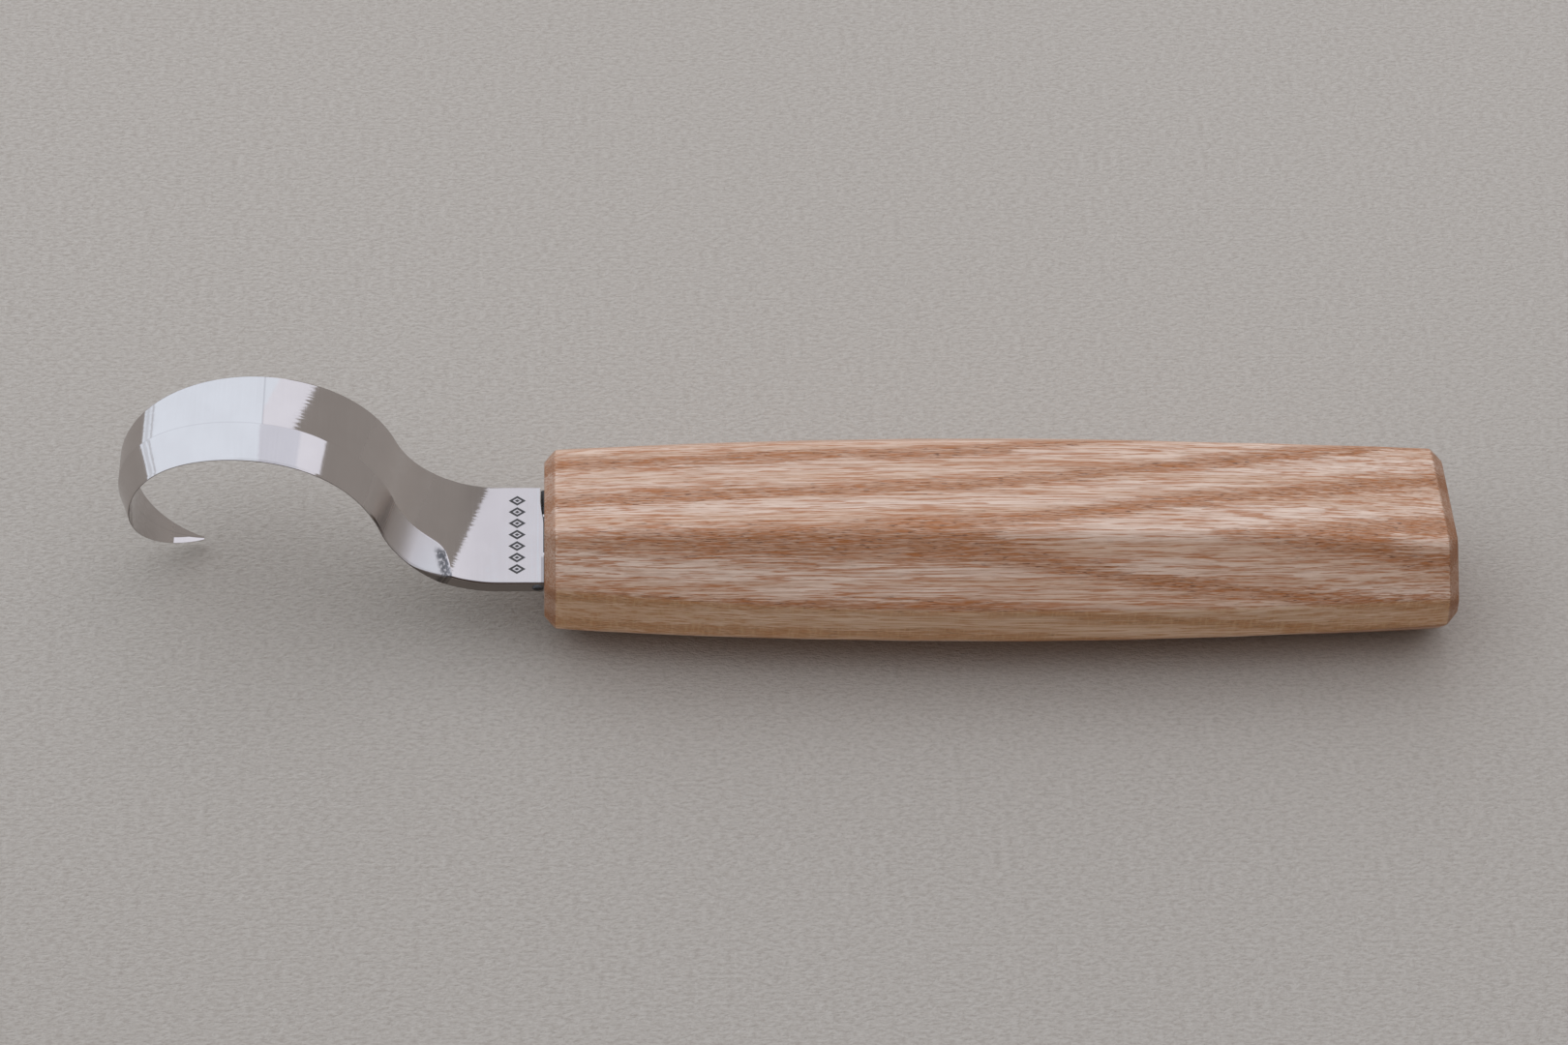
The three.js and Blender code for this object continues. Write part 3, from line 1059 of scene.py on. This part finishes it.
def steel_material():
    """Belt-polished steel, with the marks that its grinding, cutting and etching left, some darker
    lines and bands, and painted shade on its front-facing cut side.
    """
    material, g = new_material("polished_steel")
    uv = g.uv("strip")
    along, across, _ = g.split(uv)
    above_ridge, _, _ = g.split(g.uv("ground"))
    _, facing_y, outward = g.split(true_normal(g))
    lines = g.noise(uv, (7.0, 0.10, 1), detail=3.0, roughness=0.65)
    teeth = g.noise(uv, (0.8, 2.6, 1), detail=1.0, roughness=0.4)
    cloud = g.noise(uv, (0.25, 0.25, 1))
    shoulder = g.ramp(along, 0.4, 2.2, 1.0, 0.0)
    shoulder_lines = g.noise(uv, (2.6, 0.05, 1), detail=1.0)
    rough = rough_patch(g, uv, along, across)
    coarse = g.product(
        g.ramp(along, 11.6, 12.6),
        g.ramp(along, 18.0, 27.0, 1.0, 0.0),
        g.ramp(above_ridge, -0.15, 0.0, 1.0, 0.0),
    )
    etched = etched_lozenges(g, along, across, outward)
    darkening = darker_marks(g, along, across, above_ridge, outward)
    # The strip's cut side that faces the front is left duller than its faces; its colour is also
    # darkened as painted shade, for the shadowed floor and dark front that it mirrors.
    dull_shaded_cut_side = g.ramp(facing_y, -0.97, -0.9, 1.0, 0.0)

    tint = g.blend(g.ramp(cloud, 0.3, 0.7), STEEL, STEEL_CLOUD)
    tint = g.blend(g.ramp(lines, 0.35, 0.75, 0.0, 0.3), tint, STEEL_LINE)
    tint = g.blend(g.math("MULTIPLY", rough, 0.9), tint, STEEL_ROUGH)
    # Darker lines and bands: along the crease and the bevel's ridge, at the shoulder's corner, and
    # over the shank.
    tint = g.blend(darkening, tint, STEEL_DARKER)
    # Painted shade on the front-facing cut side, along with its duller finish.
    tint = g.blend(g.math("MULTIPLY", dull_shaded_cut_side, 0.72), tint, STEEL_CUT_SIDE_AND_SHADE)
    tint = g.blend(g.math("MULTIPLY", etched, 0.96), tint, ETCH_BLACK)
    metal = g.math("SUBTRACT", 1.0, g.math("MULTIPLY", etched, 0.9))
    roughness = g.total(
        g.ramp(lines, 0.3, 0.8, 0.055, 0.11),
        g.math("MULTIPLY", rough, 0.3),
        g.math("MULTIPLY", coarse, 0.36),
        g.math("MULTIPLY", etched, 0.4),
        g.math("MULTIPLY", dull_shaded_cut_side, 0.25),
    )
    height = g.total(
        g.math("MULTIPLY", lines, 0.10),
        g.math("MULTIPLY", teeth, 0.75),
        g.math("MULTIPLY", g.product(shoulder_lines, shoulder), 1.6),
        g.math("MULTIPLY", rough, -2.0),
        g.math("MULTIPLY", etched, -2.0),
    )
    surface = g.bump(height, 0.30, 0.00003)
    g.finish(Base_Color=tint, Metallic=metal, Roughness=roughness, Normal=surface)
    return material


RESIN_DARK = (0.012, 0.011, 0.010)
RESIN_PALE = (0.035, 0.030, 0.026)


def resin_material():
    """Cured dark epoxy, mottled and slightly glossy."""
    material, g = new_material("dark_resin")
    place = in_mm(g)
    mottle = g.noise(place, (1.2, 1.2, 1.2), detail=3.0)
    bubbles = g.noise(place, (5.0, 5.0, 5.0), detail=1.0)
    colour = g.blend(g.ramp(mottle, 0.3, 0.7), RESIN_DARK, RESIN_PALE)
    roughness = g.ramp(mottle, 0.3, 0.7, 0.25, 0.45)
    surface = g.bump(bubbles, 0.4, 0.00006)
    g.finish(Base_Color=colour, Roughness=roughness, Normal=surface)
    return material


PAPER = (0.565, 0.505, 0.435)
PAPER_CLOUD = (0.58, 0.52, 0.45)
PAPER_GRAIN = (0.455, 0.395, 0.335)


def floor_material():
    """Grained studio paper."""
    material, g = new_material("studio_paper")
    place = in_mm(g)
    weave = g.noise(place, (1.1, 2.6, 1), detail=3.0, roughness=0.7)
    grain = g.noise(place, (3.2, 5.0, 1), detail=2.0)
    cloud = g.noise(place, (0.006, 0.006, 1), detail=1.0)
    colour = g.blend(g.ramp(cloud, 0.3, 0.7), PAPER, PAPER_CLOUD)
    colour = g.blend(g.ramp(weave, 0.35, 0.7, 0.0, 0.9), colour, PAPER_GRAIN)
    # Painted shade: the paper is darkened a little towards the front, as the light falls off
    # there.
    depth = g.split(place)[1]
    colour = g.blend(g.ramp(depth, -120.0, 130.0, 0.11, 0.0), colour, (0.0, 0.0, 0.0))
    height = g.math("ADD", weave, g.math("MULTIPLY", grain, 0.35))
    surface = g.bump(height, 0.7, 0.0003)
    roughness = g.ramp(weave, 0.2, 0.8, 0.85, 0.95)
    shader = g.finish(Base_Color=colour, Roughness=roughness, Normal=surface)
    shader.inputs["Specular IOR Level"].default_value = 0.0
    return material


# ---------------------------------------------------------------- studio


# The colours of the light from each part of the room; 1 is a plain white wall.
LIGHT_COOL = (1.21, 1.34, 1.52)
LIGHT_WARM = (1.22, 1.26, 1.41)
LIGHT_LILAC = (1.03, 1.09, 1.25)
ROOM_GREY = (0.415, 0.39, 0.375)
FRONT_LEFT = (0.20, 0.155, 0.135)
FRONT_RIGHT = (0.05, 0.032, 0.024)
# The canopy's hem: each stripe's lowest and highest direction, and its share of room grey.
HEM_STRIPES = ((0.015, 0.085, 0.34), (0.115, 0.155, 0.5))


def build_light():
    """Soft light all round: a bright canopy above and behind, a dim right side and front."""
    world = bpy.data.worlds.new("studio")
    bpy.context.scene.world = world
    world.use_nodes = True
    g = Graph(world.node_tree)
    direction = g.add("ShaderNodeTexCoord").outputs["Generated"]
    x, y, z = g.split(direction)
    # The canopy ends about 41 degrees up on the right, and reaches the floor on the left.
    on_right = g.ramp(x, 0.10, 0.14)
    below_canopy = g.ramp(z, 0.655, 0.675, 1.0, 0.0)
    seam = g.ramp(x, -0.028, -0.020)
    canopy = g.blend(seam, LIGHT_COOL, LIGHT_WARM)
    overhead = g.product(g.ramp(y, 0.38, 0.42, 1.0, 0.0), g.ramp(x, 0.47, 0.50, 1.0, 0.0))
    canopy = g.blend(g.product(seam, overhead), canopy, LIGHT_LILAC)
    for bottom, top, share in HEM_STRIPES:
        stripe = g.band(z, bottom, top, 0.006)
        canopy = g.blend(g.math("MULTIPLY", stripe, share), canopy, ROOM_GREY)
    light = g.blend(g.product(on_right, below_canopy), canopy, ROOM_GREY)
    forward = g.math("SUBTRACT", y, g.math("MULTIPLY", z, 0.1))
    in_front = g.ramp(forward, -0.75, -0.35, 1.0, 0.0)
    front_wall = g.blend(g.ramp(x, -0.7, 0.7), FRONT_LEFT, FRONT_RIGHT)
    light = g.blend(in_front, light, front_wall)
    background = g.add("ShaderNodeBackground")
    g.put(background.inputs["Color"], light)
    output = g.add("ShaderNodeOutputWorld")
    world.node_tree.links.new(background.outputs[0], output.inputs[0])


def build_floor():
    """A flat pale floor, which is staging and not part of the knife."""
    half = FLOOR_HALF
    points = [(-half, -half, 0), (half, -half, 0), (half, half, 0), (-half, half, 0)]
    floor = make_object("floor", points, [(0, 1, 2, 3)])
    floor.data.materials.append(floor_material())


def build_camera():
    """The camera, in front of the knife and above it."""
    data = bpy.data.cameras.new("camera")
    data.lens = CAMERA_LENS
    data.sensor_width = SENSOR_WIDTH
    data.clip_start = 0.01
    data.clip_end = 10.0
    camera = bpy.data.objects.new("camera", data)
    bpy.context.scene.collection.objects.link(camera)
    place = Vector(CAMERA_PLACE) * MM
    forward = (Vector(CAMERA_TARGET) * MM - place).normalized()
    right = forward.cross(Vector(CAMERA_UP)).normalized()
    up = right.cross(forward)
    axes = Matrix((right, up, -forward)).transposed()
    camera.matrix_world = Matrix.Translation(place) @ axes.to_4x4()
    bpy.context.scene.camera = camera


# ---------------------------------------------------------------- the scene


def main():
    """Load the frame, and dress it piece by piece."""
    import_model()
    bpy.context.scene.view_settings.view_transform = "Standard"
    build_camera()
    build_light()
    build_floor()
    for build, material, node, slot in (
        (build_handle, ash_material, "handle", "wood"),
        (build_blade, steel_material, "blade", "steel"),
        (build_resin, resin_material, "tang_epoxy", "epoxy"),
    ):
        piece = build()
        piece.data.materials.append(material())
        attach(piece, "root")
        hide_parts(node)
        # The handle and the resin are left out of reflections: the steel mirrors only the room.
        piece.visible_glossy = node == "blade"


main()
